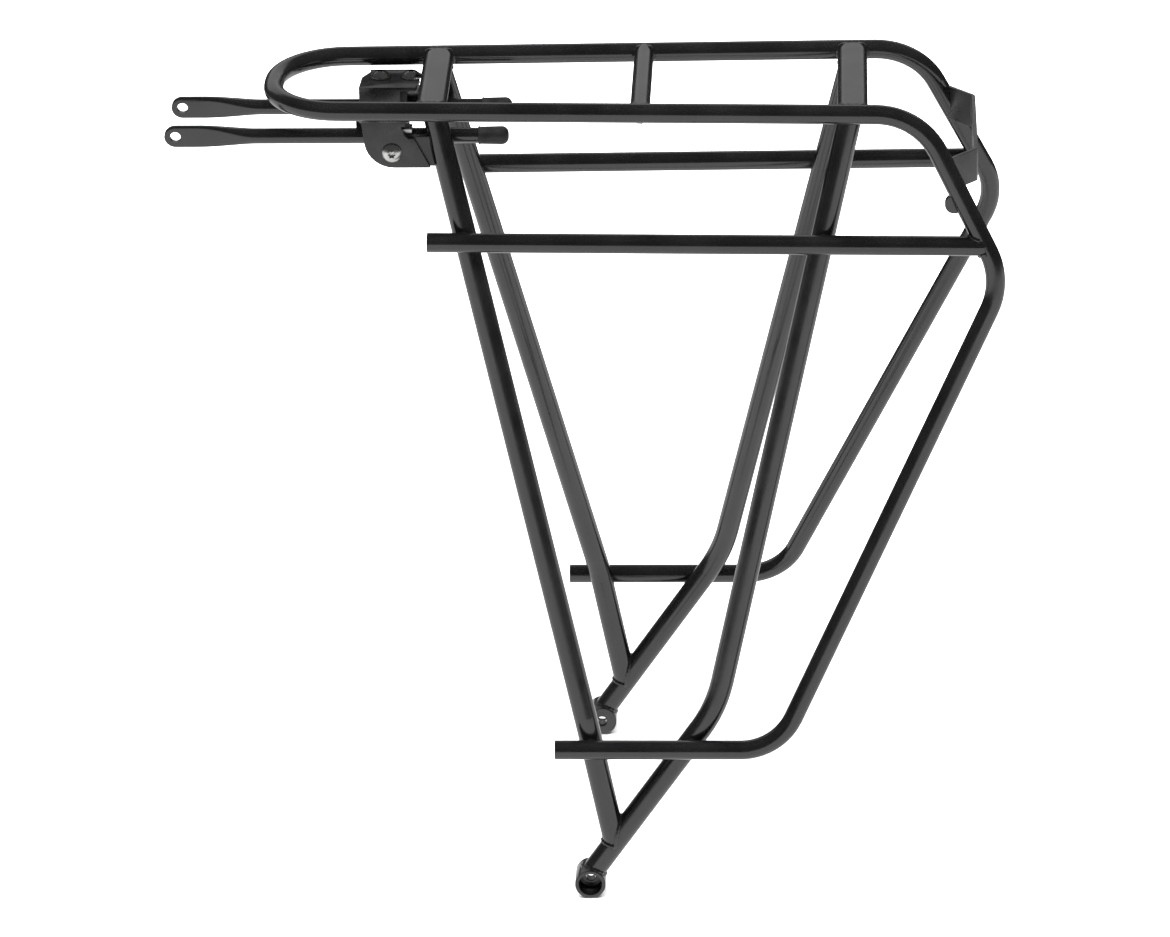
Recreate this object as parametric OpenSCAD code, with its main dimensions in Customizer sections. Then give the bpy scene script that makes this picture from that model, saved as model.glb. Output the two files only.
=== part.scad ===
// Rear pannier rack for a bicycle: a welded carrier of round steel tube with two adjustable front stays.
// +X points to the rear of the bicycle, +Y to its right side and +Z up.
// The origin lies midway between the two foot eyes, on their common axis.

/* [Tubes] */
// Outer diameter of the deck, side and pannier rail tube
rail_d = 10; // [8:0.5:12]
// Outer diameter of the leg tube
leg_d = 12; // [10:0.5:14]
// Width of the front and rear crossbars, which are pressed flat
crossbar_w = 15.2; // [12:0.1:16]
// Height of the front and rear crossbars
crossbar_h = 9.4; // [8.6:0.1:9.6]
// Wall thickness of every tube
tube_wall = 0.9; // [0.6:0.1:1.5]
// Centre-line radius of a rail's two rear bends
rail_bend_r = 35; // [25:1:45]
// Centre-line radius of the bend into a lower rail
low_bend_r = 30; // [25:1:40]
// Centre-line radius of the slight bend in a front leg
front_leg_bend_r = 60; // [40:5:90]
// Centre-line radius of the knee in a rear leg
rear_leg_bend_r = 70; // [40:5:90]

/* [Deck] */
// Height of the deck tubes' centre line above the foot eyes
deck_z = 408.6; // [360:0.1:440]
// Front of the deck loop, ahead of the foot eyes
deck_front_x = -157; // [-180:1:-140]
// Corner where the deck rails turn down at the rear
deck_rear_x = 170; // [160:1:185]
// Half width between the deck rails' centre lines at the front
deck_front_half = 37; // [34:0.5:44]
// Half width between the deck rails' centre lines at the rear
deck_rear_half = 45.5; // [42:0.5:52]
// Centre-line radius of the front loop's two quarter turns
loop_r = 35.5; // [20:0.5:36]
// Drop of a front or rear crossbar's top below the top of the deck rails
crossbar_drop = 0.3; // [0.2:0.1:2]
// Position of the middle crossbar
middle_bar_x = 30; // [0:1:60]

/* [Sides] */
// Rearmost corner of a side tube
back_x = 212.2; // [200:1:230]
// Height of the rearmost corner
back_z = 324.6; // [310:0.5:340]
// Half width at the rearmost corner
back_half = 60.5; // [56:0.5:66]
// Corner where a side tube turns forward into the lower rail
low_x = 98; // [85:1:115]
// Height of the lower rails
low_z = 80.8; // [70:0.1:95]
// Front end of the lower rails
low_front_x = -16.7; // [-30:0.1:-10]
// Height of the upper pannier rails
pannier_z = 342.8; // [335:0.2:350]
// Front end of the upper pannier rails
pannier_front_x = -78; // [-95:1:-70]

/* [Legs] */
// Half width between the two foot eyes' strut centre lines
foot_half = 92.2; // [80:0.2:100]
// Position of the front crossbar and of the front legs' top
front_top_x = -75.1; // [-82:0.1:-70]
// Half width of the front legs' top
front_top_half = 28.1; // [26:0.1:30]
// Height of the slight bend in a front leg
front_bend_z = 88.5; // [84:0.5:110]
// Position of the slight bend in a front leg
front_bend_x = 0; // [-5:0.5:5]
// Position of the rear crossbar and of the rear legs' top
rear_top_x = 136.7; // [125:0.1:145]
// Half width of the rear legs' top
rear_top_half = 32.8; // [30:0.1:35]
// Position of the knee in a rear leg
knee_x = 66.4; // [60:0.2:75]
// Height of the knee in a rear leg
knee_z = 99.7; // [95:0.1:115]
// How far ahead of the foot eye the strut's centre line lands
strut_lead = 1.5; // [0:0.1:2]
// Distance behind the foot eye at which a front leg joins the strut
joint_x = 13; // [11:0.5:18]

/* [Foot eyes] */
// Outer diameter of a foot eye
foot_d = 16; // [14:0.5:20]
// Length of a foot eye
foot_len = 15.5; // [12:0.5:20]
// Diameter of the bolt hole for an M5 frame bolt
foot_bore_d = 5.5; // [5.2:0.1:6.6]
// Diameter of the counterbore that hides the bolt head
foot_counterbore_d = 12; // [10:0.5:13]
// Thickness of the floor under the counterbore
foot_floor = 6; // [4:0.5:8]

/* [Light plate] */
// Sheet thickness of the light plate
plate_t = 2; // [1.5:0.1:3]
// Distance of each fold inside the side tubes' centre lines
plate_inset = 16.5; // [12:0.1:19]
// Distance of the web's rear face behind the side tubes' centre lines
plate_behind = 14.3; // [12:0.1:16]
// Drop of the plate's middle below the deck tubes' centre line
plate_drop = 30.6; // [29:0.1:34]
// Height of the light plate
plate_h = 17.5; // [12:0.5:18]
// Distance between the two lamp holes
lamp_hole_spacing = 50; // [40:1:54]
// Diameter of the two lamp holes
lamp_hole_d = 5.5; // [4.5:0.1:6.5]

/* [Cable boss] */
// Diameter of the half-round boss on the front of the left side tube
boss_d = 9.4; // [7:0.1:10]
// Thickness of the boss
boss_t = 4; // [3:0.5:6]
// Drop of the boss below the deck tubes' centre line
boss_drop = 44.7; // [40:0.1:50]

/* [Saddles] */
// Sheet thickness of a folded saddle
saddle_t = 2; // [1.5:0.1:2.4]
// Distance of a saddle's outer face outside the front leg's centre line, at the tilt bolt
saddle_reach = 4.3; // [4:0.1:4.6]
// Width of a saddle over its two cheeks
saddle_w = 25.6; // [24.5:0.1:26.5]
// Drop of a saddle's top below the deck tubes' centre line
saddle_drop = 7; // [6:0.1:9]
// Distance of the tilt bolt ahead of the front crossbar
pivot_lead = 20.3; // [19:0.1:22]
// Drop of the tilt bolt below a saddle's top
pivot_drop = 16.1; // [15:0.1:17]
// Thickness of a lug plate
lug_t = 2.9; // [2.4:0.1:3]
// Running gap between a lug plate and the outer cheek
lug_gap = 0.3; // [0.2:0.05:0.4]
// Half height of a lug plate
lug_r = 8.1; // [7:0.1:8.3]
// Diameter of the tilt bolt's shank, an M6
pivot_d = 6; // [5:0.5:6]
// Running clearance of the tilt bolt in the lug plate, on the radius
pivot_clear = 0.1; // [0.05:0.01:0.2]

/* [Clamps] */
// Diameter of the two clamp bolts' shanks, an M5
clamp_bolt_d = 5; // [4:0.5:5]
// Distance of the clamp bolts inside a saddle's outer face
clamp_bolt_inset = 10.4; // [10:0.1:10.8]
// Distance of the front clamp bolt ahead of the tilt bolt
clamp_bolt_lead = 9.4; // [9:0.1:10]
// Distance of the rear clamp bolt behind the tilt bolt
clamp_bolt_trail = 6.4; // [6:0.1:7]
// Front end of the clamp, ahead of the tilt bolt
clamp_lead = 13.2; // [13:0.1:15]
// Rear end of the clamp jaw, behind the tilt bolt
clamp_trail = 9.9; // [9.6:0.1:11]
// Length of the clamp shoe
shoe_len = 18; // [14:0.5:22]
// Wall thickness of the clamp jaw
jaw_t = 1.9; // [1.5:0.1:2]
// Sliding clearance round a stay, on the radius
stay_clear = 0.1; // [0.05:0.01:0.15]
// Clearance of a clamp bolt in a saddle, on the radius
bolt_hole_clear = 0.25; // [0.1:0.05:0.5]

/* [Stays] */
// Diameter of a stay
stay_d = 8; // [6:0.5:8]
// Distance of a stay inside a saddle's outer face
stay_inset = 17.3; // [17:0.1:17.6]
// Drop of a stay's centre line below a saddle's top
stay_drop = 13.6; // [13.2:0.1:14]
// Distance from the tilt bolt forward to the eye of a stay
stay_lead = 111; // [100:0.5:150]
// Diameter of the eye's hole for an M5 bolt
stay_hole_d = 5.5; // [5.2:0.1:6]
// Width of the flattened tip
tip_w = 11.5; // [9:0.5:13]
// Thickness of the flattened tip
tip_t = 3; // [2.5:0.1:4]
// Length of the flat behind the eye's centre
tip_flat = 13; // [10:1:18]
// Length over which the flat swells to the round rod
tip_swell = 17; // [12:1:22]
// Distance from the tilt bolt back to the end of a stay's rod
stay_trail = 55.8; // [50:0.1:70]
// Length of a stay's end cap
cap_len = 15.5; // [12:0.5:20]
// Outer diameter of an end cap
cap_d = 9.4; // [9:0.1:9.6]
// Clearance of a stay in its end cap, on the radius
cap_clear = 0.05; // [0.03:0.01:0.1]

/* [Hidden] */
$fn = 48;

LEFT = -1;
RIGHT = 1;
rail_r = rail_d / 2;
leg_r = leg_d / 2;
crossbar_z = deck_z + rail_r - crossbar_drop - crossbar_h / 2;
// A coped tube end stops this far short of the tube it is welded to
cope = 0.02;
// A bend comes out of the bender this much thinner than the straight run, which laps over it by run_in
bend_thinning = 0.02;
run_in = 0.5;
// A cut runs this far past the faces that it opens
past = 1;
// Two tubes that cross touch when their centre lines are this far apart
touch = rail_r + leg_r;
black = [0.09, 0.09, 0.1];
plate_black = [0.2, 0.2, 0.21];
stainless = [0.75, 0.76, 0.77];
plastic = [0.12, 0.12, 0.12];

function unit(v) = v / norm(v);
// Value on the straight line through (a0, b0) and (a1, b1) at a
function on_line(a, a0, b0, a1, b1) = b0 + (b1 - b0) * (a - a0) / (a1 - a0);

// Point on a front leg's and on a rear leg's upper run at height z
function front_leg_at(side, z) = [on_line(z, front_bend_z, front_bend_x, deck_z, front_top_x),
    side * on_line(z, front_bend_z, foot_half, deck_z, front_top_half), z];
function rear_leg_at(side, z) = [on_line(z, knee_z, knee_x, deck_z, rear_top_x),
    side * on_line(z, knee_z, foot_half, deck_z, rear_top_half), z];

// Half width between the deck rails at x
function deck_half(x) = on_line(x, deck_front_x, deck_front_half, deck_rear_x, deck_rear_half);
// Half width of the lower rails, which lie against the outside of the legs
low_half = foot_half + touch;

// A pannier rail lies against the outside of both legs on its side
front_lean = atan((foot_half - front_top_half) / (deck_z - front_bend_z));
rear_lean = atan((foot_half - rear_top_half) / (deck_z - knee_z));
pannier_touch_front = front_leg_at(RIGHT, pannier_z) + [0, touch / cos(front_lean), 0];
pannier_touch_rear = rear_leg_at(RIGHT, pannier_z) + [0, touch / cos(rear_lean), 0];
pannier_back_x = on_line(pannier_z, back_z, back_x, deck_z, deck_rear_x);
function pannier_at(side, x) = [x, side * on_line(x, pannier_touch_front[0], pannier_touch_front[1],
    pannier_touch_rear[0], pannier_touch_rear[1]), pannier_z];

// The strut is the part of a rear leg between the knee and the foot eye
strut_dir = unit([-strut_lead - knee_x, 0, -knee_z]);
strut_reach = (knee_x * -strut_dir[0]) + (knee_z * -strut_dir[2]);
function strut_end(side) = [knee_x, side * foot_half, knee_z] + strut_dir * strut_reach;
function strut_joint(side) = [joint_x, side * foot_half,
    on_line(joint_x, -strut_lead, 0, knee_x, knee_z)];

function side_points(side) = [
    [deck_front_x, side * deck_front_half, deck_z],
    [deck_rear_x, side * deck_rear_half, deck_z],
    [back_x, side * back_half, back_z],
    [low_x, side * low_half, low_z],
    [low_front_x, side * low_half, low_z]];
function loop_points() = concat([for (i = [4:-1:0]) side_points(LEFT)[i]], side_points(RIGHT));
loop_radii = [low_bend_r, rail_bend_r, rail_bend_r, loop_r, loop_r, rail_bend_r, rail_bend_r, low_bend_r];
function front_leg_points(side) = [front_leg_at(side, crossbar_z),
    [front_bend_x, side * foot_half, front_bend_z], strut_joint(side)];
function rear_leg_points(side) = [rear_leg_at(side, crossbar_z),
    [knee_x, side * foot_half, knee_z], strut_end(side)];

// Angle turned at point i of a path, and the length of tube that the bend takes on each side
function turn(p, i) = let (u = unit(p[i] - p[i - 1]), v = unit(p[i + 1] - p[i])) acos(u * v);
function bend_reach(p, i, r) = r * tan(turn(p, i) / 2);

// Point on a side tube's centre line at height z, down to the start of the bend at its rearmost corner
function side_at(side, z) = let (
    p = side_points(side),
    u = unit(p[2] - p[1]),
    inward = cross(unit(cross(u, p[3] - p[2])), u),
    above = (back_z - z) / u[2],
    into_bend = max(0, bend_reach(p, 2, rail_bend_r) - above))
    p[2] - u * above + inward * into_bend * into_bend / (2 * rail_bend_r);

// Places its children with local Z along the line from a to b
module along(a, b) {
    w = unit(b - a);
    u = unit(cross(abs(w[2]) < 0.9 ? [0, 0, 1] : [1, 0, 0], w));
    v = cross(w, u);
    multmatrix([[u[0], v[0], w[0], a[0]], [u[1], v[1], w[1], a[1]], [u[2], v[2], w[2], a[2]], [0, 0, 0, 1]])
        children();
}

// Straight round rod from a to b, made longer at either end
module rod(a, b, d, before = 0, after = 0) {
    along(a - unit(b - a) * before, b) cylinder(d = d, h = norm(b - a) + before + after);
}

// Round rod bent at point i of path p
module bend(p, i, r, d) {
    u = unit(p[i] - p[i - 1]);
    n = unit(cross(u, unit(p[i + 1] - p[i])));
    e = cross(u, n);
    c = p[i] - u * bend_reach(p, i, r) - e * r;
    multmatrix([[e[0], u[0], n[0], c[0]], [e[1], u[1], n[1], c[1]], [e[2], u[2], n[2], c[2]], [0, 0, 0, 1]])
        rotate_extrude(angle = turn(p, i), $fn = 96) translate([r, 0]) circle(d = d - bend_thinning);
}

// Round rod along the points p with the bend radii rs, made longer by extra at both ends
module bent_rod(p, rs, d, extra = 0) {
    last = len(p) - 1;
    for (i = [0:last - 1]) {
        u = unit(p[i + 1] - p[i]);
        from = i == 0 ? p[0] : p[i] + u * bend_reach(p, i, rs[i - 1]);
        to = i == last - 1 ? p[last] : p[i + 1] - u * bend_reach(p, i + 1, rs[i]);
        rod(from, to, d, i == 0 ? extra : run_in, i == last - 1 ? extra : run_in);
        if (i < last - 1) bend(p, i + 1, rs[i], d);
    }
}

// Tube, open at both ends
module bent_tube(p, rs, d) {
    difference() {
        bent_rod(p, rs, d);
        bent_rod(p, rs, d - 2 * tube_wall, past);
    }
}

module deck_and_side_tube() {
    color(black) bent_tube(loop_points(), loop_radii, rail_d);
}

// Solid cores that other tubes are coped against
module deck_rail_core(side) {
    rod(side_points(side)[0], side_points(side)[1], rail_d + 2 * cope);
}
module crossbar_core(x) {
    flat_rod(x, crossbar_w + 2 * cope, crossbar_h + 2 * cope, deck_half(x));
}

// Rod along Y with flat top and bottom and half-round sides, to the distance reach on both sides
module flat_rod(x, w, h, reach) {
    translate([x, 0, crossbar_z]) rotate([90, 0, 0]) linear_extrude(2 * reach, center = true) {
        square([w - h, h], center = true);
        for (i = [-1, 1]) translate([i * (w - h) / 2, 0]) circle(d = h);
    }
}

// Straight crossbar of flattened tube between the deck rails, coped to both
module flat_crossbar(x) {
    color(black) difference() {
        flat_rod(x, crossbar_w, crossbar_h, deck_half(x));
        flat_rod(x, crossbar_w - 2 * tube_wall, crossbar_h - 2 * tube_wall, deck_half(x) + past);
        deck_rail_core(LEFT);
        deck_rail_core(RIGHT);
    }
}

// Straight round crossbar between the deck rails, coped to both
module round_crossbar(x, z, d) {
    color(black) difference() {
        bent_tube([[x, -deck_half(x), z], [x, deck_half(x), z]], [], d);
        deck_rail_core(LEFT);
        deck_rail_core(RIGHT);
    }
}

module front_leg(side) {
    color(black) difference() {
        bent_tube(front_leg_points(side), [front_leg_bend_r], leg_d);
        crossbar_core(front_top_x);
        rod([knee_x, side * foot_half, knee_z], strut_end(side), leg_d + 2 * cope);
    }
}

module rear_leg(side) {
    color(black) difference() {
        bent_tube(rear_leg_points(side), [rear_leg_bend_r], leg_d);
        crossbar_core(rear_top_x);
        foot_core(side, foot_d + 2 * cope);
    }
}

// Cylinder along Y centred on a foot eye
module foot_core(side, d) {
    translate([0, side * foot_half, 0]) rotate([90, 0, 0]) cylinder(d = d, h = foot_len, center = true);
}

module foot_eye(side) {
    inner = foot_half - foot_len / 2;
    color(black) difference() {
        foot_core(side, foot_d);
        translate([0, side * foot_half, 0]) rotate([90, 0, 0])
            cylinder(d = foot_bore_d, h = foot_len + 2 * past, center = true);
        translate([0, side * (inner + foot_floor + foot_len / 2), 0]) rotate([90, 0, 0])
            cylinder(d = foot_counterbore_d, h = foot_len, center = true);
    }
}

module pannier_rail(side) {
    color(black) difference() {
        bent_tube([pannier_at(side, pannier_front_x), pannier_at(side, pannier_back_x)], [], rail_d);
        rod(side_at(side, pannier_z + rail_r), side_at(side, pannier_z - rail_r),
            rail_d + 2 * cope, rail_r, rail_r);
    }
}

// Disc welded into the open end of a rail whose end is at a, with the rail running towards b
module end_plug(a, b) {
    plug_t = 2;
    along(a, b) cylinder(d = rail_d - 2 * tube_wall - 2 * cope, h = plug_t);
}

module rail_end_plugs() {
    color(black) for (side = [LEFT, RIGHT]) {
        end_plug(side_points(side)[4], side_points(side)[3]);
        end_plug(pannier_at(side, pannier_front_x), pannier_at(side, pannier_back_x));
    }
}

// The side tubes' centre line at the middle of the light plate, and the plate's faces there
plate_z = deck_z - plate_drop;
plate_tube = side_at(RIGHT, plate_z);
plate_x = plate_tube[0] + plate_behind;
plate_half = plate_tube[1] - plate_inset;
plate_fold_r = 4;
// Each tab runs straight from its fold to the side tube's centre line
fold_centre = [plate_x - plate_fold_r, plate_half];
to_tube = [plate_tube[0], plate_tube[1]] - fold_centre;
plate_fold_angle = atan2(to_tube[1], to_tube[0]) - acos(plate_fold_r / norm(to_tube));
tab_dir = [-sin(plate_fold_angle), cos(plate_fold_angle), 0];

// Outline, from above, of one half of a face of the light plate, on the right side
function fold_line(r) = let (
    a = arc(fold_centre, r, 0, plate_fold_angle, 6),
    tab_len = norm(to_tube) + rail_r)
    concat(a, [a[6] + tab_len * [tab_dir[0], tab_dir[1]]]);
function flipped(p) = [for (i = [len(p) - 1:-1:0]) p[i]];
function mirrored(p) = [for (q = p) [q[0], -q[1]]];

// Thick rod that covers what lies beyond a side tube, seen from the web of the light plate
module beyond_side_tube(side) {
    a = side_points(side)[1];
    b = side_points(side)[2];
    w = unit(b - a);
    towards = [tab_dir[0], side * tab_dir[1], 0];
    out = unit(towards - w * (towards * w));
    cover_r = 2 * rail_d;
    cover_lap = rail_r / 3;
    shift = out * (cover_r - cover_lap);
    rod(a + shift, b + shift, 2 * cover_r);
}

// Folded sheet between the two side tubes: a flat web that faces the rear and two tabs that splay forward
module light_plate() {
    rear_face = fold_line(plate_fold_r);
    front_face = fold_line(plate_fold_r - plate_t);
    outline = concat(rear_face, flipped(front_face), mirrored(front_face), flipped(mirrored(rear_face)));
    color(plate_black) difference() {
        translate([0, 0, plate_z - plate_h / 2]) linear_extrude(plate_h) polygon(outline);
        for (y = [-1, 1] * lamp_hole_spacing / 2)
            translate([plate_x, y, plate_z]) rotate([0, 90, 0])
                cylinder(d = lamp_hole_d, h = 4 * plate_t, center = true);
        for (side = [LEFT, RIGHT]) {
            rod(side_points(side)[1], side_points(side)[2], rail_d + 2 * cope);
            beyond_side_tube(side);
        }
    }
}

// Half-round boss on the front of the left side tube, which the lamp's wire is tied to
module cable_boss() {
    tube_at = side_at(LEFT, deck_z - boss_drop);
    color(black) difference() {
        translate(tube_at - [rail_r, 0, 0]) rotate([90, 0, 0])
            cylinder(d = boss_d, h = boss_t, center = true);
        rod(side_points(LEFT)[1], side_points(LEFT)[2], rail_d + 2 * cope);
    }
}

// Extrudes an outline drawn in X and Z across Y, from y0 to y1 on the given side
module across(side, y0, y1) {
    translate([0, side > 0 ? y1 : -y0, 0]) rotate([90, 0, 0]) linear_extrude(y1 - y0) children();
}
// Extrudes an outline drawn in Y and Z along X on the right side, mirrored for the left
module lengthways(side, x0, x1) {
    mirror([0, side > 0 ? 0 : 1, 0]) translate([x0, 0, 0]) rotate([90, 0, 90])
        linear_extrude(x1 - x0) children();
}
// Short cylinder along Y at (x, z), from y0 to y1 on the given side
module pin_across(side, x, z, d, y0, y1) {
    translate([x, side > 0 ? y1 : -y0, z]) rotate([90, 0, 0]) cylinder(d = d, h = y1 - y0);
}
// Points on an arc about c, from angle a0 to a1 in n steps
function arc(c, r, a0, a1, n) = [for (i = [0:n]) let (a = a0 + (a1 - a0) * i / n) c + r * [cos(a), sin(a)]];

// Heights and places of the saddles and of what they hold, which all hang from the tilt bolt and the deck
saddle_top_z = deck_z - saddle_drop;
pivot_x = front_top_x - pivot_lead;
pivot_z = saddle_top_z - pivot_drop;
saddle_out = front_leg_at(RIGHT, pivot_z)[1] + saddle_reach;
saddle_in = saddle_out - saddle_w;
saddle_low_z = pivot_z - lug_r;
lug_out = saddle_out - saddle_t - lug_gap;
lug_in = lug_out - lug_t;
clamp_bolt_y = saddle_out - clamp_bolt_inset;
clamp_bolt_xs = [pivot_x - clamp_bolt_lead, pivot_x + clamp_bolt_trail];
clamp_front_x = pivot_x - clamp_lead;
clamp_rear_x = pivot_x + clamp_trail;
stay_y = saddle_out - stay_inset;
stay_z = saddle_top_z - stay_drop;
stay_bore_r = stay_d / 2 + stay_clear;
// The clamp shoe and the jaw's ear both begin this far above a stay's centre line
ear_rise = 3;
ear_low_z = stay_z + ear_rise;

// Plate welded to the front leg, which carries the tilt bolt
module lug_plate(side) {
    leg_low = front_leg_at(side, pivot_z - lug_r);
    leg_high = front_leg_at(side, pivot_z + lug_r);
    color(plate_black) difference() {
        across(side, lug_in, lug_out) {
            translate([pivot_x, pivot_z]) circle(r = lug_r);
            polygon([[pivot_x, pivot_z - lug_r], [leg_low[0], leg_low[2]],
                     [leg_high[0], leg_high[2]], [pivot_x, pivot_z + lug_r]]);
        }
        pin_across(side, pivot_x, pivot_z, pivot_d + 2 * pivot_clear, lug_in - past, lug_out + past);
        bent_rod(front_leg_points(side), [front_leg_bend_r], leg_d + 2 * cope);
    }
}

// Folded saddle: a long outer cheek, a top flange and a short inner cheek, drawn from the tilt bolt
module saddle(side) {
    nose_r = 15;
    nose_lead = 15.1;
    notch_top = -6.4;
    notch_low = -8.6;
    outer_cheek = concat(
        [[19.1, -lug_r], [11.4, pivot_drop + notch_low], [8.4, pivot_drop + notch_low],
         [6, pivot_drop + notch_top], [4.2, pivot_drop], [-nose_lead, pivot_drop]],
        arc([1, nose_r - lug_r], nose_r, 190, 270, 8));
    cheek_lead = 19.6;
    cheek_trail = 1.4;
    cheek_low = -3;
    cheek_r = 3;
    inner_cheek = concat([[cheek_trail, pivot_drop], [-cheek_lead, pivot_drop]],
        arc([cheek_r - cheek_lead, cheek_low + cheek_r], cheek_r, 180, 270, 4),
        arc([cheek_trail - cheek_r, cheek_low + cheek_r], cheek_r, 270, 360, 4));
    flange = [[-cheek_lead, saddle_in], [-18.9, saddle_in + 14.6], [-13.3, saddle_out], [6.9, saddle_out],
              [11, saddle_in + 11.6], [9.4, saddle_in]];
    color(plate_black) difference() {
        translate([pivot_x, 0, 0]) {
            translate([0, 0, pivot_z]) {
                across(side, saddle_out - saddle_t, saddle_out) polygon(outer_cheek);
                across(side, saddle_in, saddle_in + saddle_t) polygon(inner_cheek);
            }
            translate([0, 0, saddle_top_z - saddle_t]) linear_extrude(saddle_t)
                mirror([0, side > 0 ? 0 : 1]) polygon(flange);
        }
        pin_across(side, pivot_x, pivot_z, pivot_d, saddle_out - saddle_t - past, saddle_out + past);
        for (x = clamp_bolt_xs)
            translate([x, side * clamp_bolt_y, saddle_top_z])
                cylinder(d = clamp_bolt_d + 2 * bolt_hole_clear, h = 3 * saddle_t, center = true);
    }
}

// Button-head screw with a six-lobe socket, pointing down -Z with the underside of its head at z = 0
module button_screw(d, head_d, head_h, length) {
    socket_d = 0.36 * head_d;
    lobe_w = socket_d / 3;
    core_floor = head_h / 3;
    lobe_floor = -2 * core_floor;
    dome_r = (head_d * head_d / 4 + head_h * head_h) / (2 * head_h);
    difference() {
        union() {
            translate([0, 0, -length]) cylinder(d = d, h = length);
            intersection() {
                cylinder(d = head_d, h = head_h);
                translate([0, 0, head_h - dome_r]) sphere(r = dome_r);
            }
        }
        for (a = [0:60:120]) rotate([0, 0, a]) translate([-socket_d / 2, -lobe_w / 2, lobe_floor])
            cube([socket_d, lobe_w, 2 * head_h]);
        translate([0, 0, core_floor]) cylinder(d = socket_d - lobe_w, h = head_h);
    }
}

tilt_nut_t = 3.2;
module tilt_bolt(side) {
    head_d = 10.5;
    head_h = 3.3;
    past_nut = 0.4;
    length = saddle_out - lug_in + tilt_nut_t + past_nut;
    color(stainless) translate([pivot_x, side * saddle_out, pivot_z]) rotate([side * -90, 0, 0])
        button_screw(pivot_d, head_d, head_h, length);
}

// Thin lock nut against the inner face of the lug plate
module tilt_nut(side) {
    across_corners = 11.55;
    nut_gap = 0.1;
    nut_out = lug_in - nut_gap;
    color(stainless) difference() {
        translate([pivot_x, side > 0 ? nut_out : -nut_out + tilt_nut_t, pivot_z]) rotate([90, 0, 0])
            cylinder(d = across_corners, h = tilt_nut_t, $fn = 6);
        pin_across(side, pivot_x, pivot_z, pivot_d, nut_out - tilt_nut_t - past, nut_out + past);
    }
}

// Upper jaw: a block between the flange and the stay
module clamp_shoe(side) {
    side_gap = 0.2;
    color(plastic) lengthways(side, clamp_front_x, clamp_front_x + shoe_len) difference() {
        translate([stay_y - stay_bore_r + side_gap, ear_low_z])
            square([2 * (stay_bore_r - side_gap), saddle_top_z - saddle_t - ear_low_z]);
        translate([stay_y, stay_z]) circle(r = stay_bore_r);
    }
}

// Lower jaw: a hook under the stay, whose ear takes the clamp bolts
module clamp_jaw(side) {
    ear_t = 5;
    ear_w = 7.6;
    lip_h = 2;
    stay_out = stay_y + stay_bore_r;
    color(stainless) difference() {
        lengthways(side, clamp_front_x, clamp_rear_x) {
            difference() {
                translate([stay_y, stay_z]) circle(r = stay_bore_r + jaw_t);
                translate([stay_y, stay_z]) circle(r = stay_bore_r);
                translate([stay_y - stay_d, stay_z]) square([2 * stay_d, stay_d]);
            }
            translate([stay_y - stay_bore_r - jaw_t, stay_z]) square([jaw_t, lip_h]);
            translate([stay_out, stay_z]) square([jaw_t, ear_low_z + ear_t - stay_z]);
            translate([stay_out, ear_low_z]) square([ear_w, ear_t]);
        }
        for (x = clamp_bolt_xs)
            translate([x, side * clamp_bolt_y, ear_low_z - past])
                cylinder(d = clamp_bolt_d, h = ear_t + 2 * past);
    }
}

washer_t = 1;
module clamp_bolts(side) {
    head_d = 9.5;
    head_h = 2.75;
    color(stainless) for (x = clamp_bolt_xs)
        translate([x, side * clamp_bolt_y, saddle_top_z + washer_t])
            button_screw(clamp_bolt_d, head_d, head_h, saddle_top_z + washer_t - ear_low_z);
}

module clamp_washers(side) {
    washer_d = 11;
    washer_clear = 0.15;
    color(stainless) for (x = clamp_bolt_xs)
        translate([x, side * clamp_bolt_y, saddle_top_z]) difference() {
            cylinder(d = washer_d, h = washer_t);
            translate([0, 0, -past]) cylinder(d = clamp_bolt_d + 2 * washer_clear, h = washer_t + 2 * past);
        }
}

stay_eye_x = pivot_x - stay_lead;
stay_rear_x = pivot_x + stay_trail;

// Round rod with a flattened, drilled tip
module stay(side) {
    flat_rear_x = stay_eye_x + tip_flat;
    round_x = flat_rear_x + tip_swell;
    slice = 0.2;
    color(black) difference() {
        union() {
            across(side, stay_y - tip_t / 2, stay_y + tip_t / 2) {
                translate([stay_eye_x, stay_z]) circle(d = tip_w);
                translate([stay_eye_x, stay_z - tip_w / 2]) square([tip_flat, tip_w]);
            }
            hull($fn = 32) {
                translate([flat_rear_x - slice, side * stay_y - tip_t / 2, stay_z - tip_w / 2])
                    cube([slice, tip_t, tip_w]);
                translate([round_x - slice, side * stay_y, stay_z]) rotate([0, 90, 0])
                    cylinder(d = stay_d, h = slice, $fn = 32);
            }
            translate([round_x - slice, side * stay_y, stay_z]) rotate([0, 90, 0])
                cylinder(d = stay_d, h = stay_rear_x - round_x + slice);
        }
        pin_across(side, stay_eye_x, stay_z, stay_hole_d, stay_y - tip_t, stay_y + tip_t);
    }
}

// Moulded cap pushed over the rear end of a stay
module stay_cap(side) {
    end_wall = 2.5;
    end_gap = 0.3;
    round_r = 3.6;
    bore_r = stay_d / 2 + cap_clear;
    bore_len = cap_len - end_wall + end_gap;
    mouth_x = stay_rear_x + end_wall - cap_len;
    color(plastic) translate([mouth_x, side * stay_y, stay_z]) rotate([0, 90, 0]) rotate_extrude()
        polygon(concat([[bore_r, 0], [cap_d / 2, 0]],
            arc([cap_d / 2 - round_r, cap_len - round_r], round_r, 0, 90, 6),
            [[0, cap_len], [0, bore_len], [bore_r, bore_len]]));
}

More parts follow.
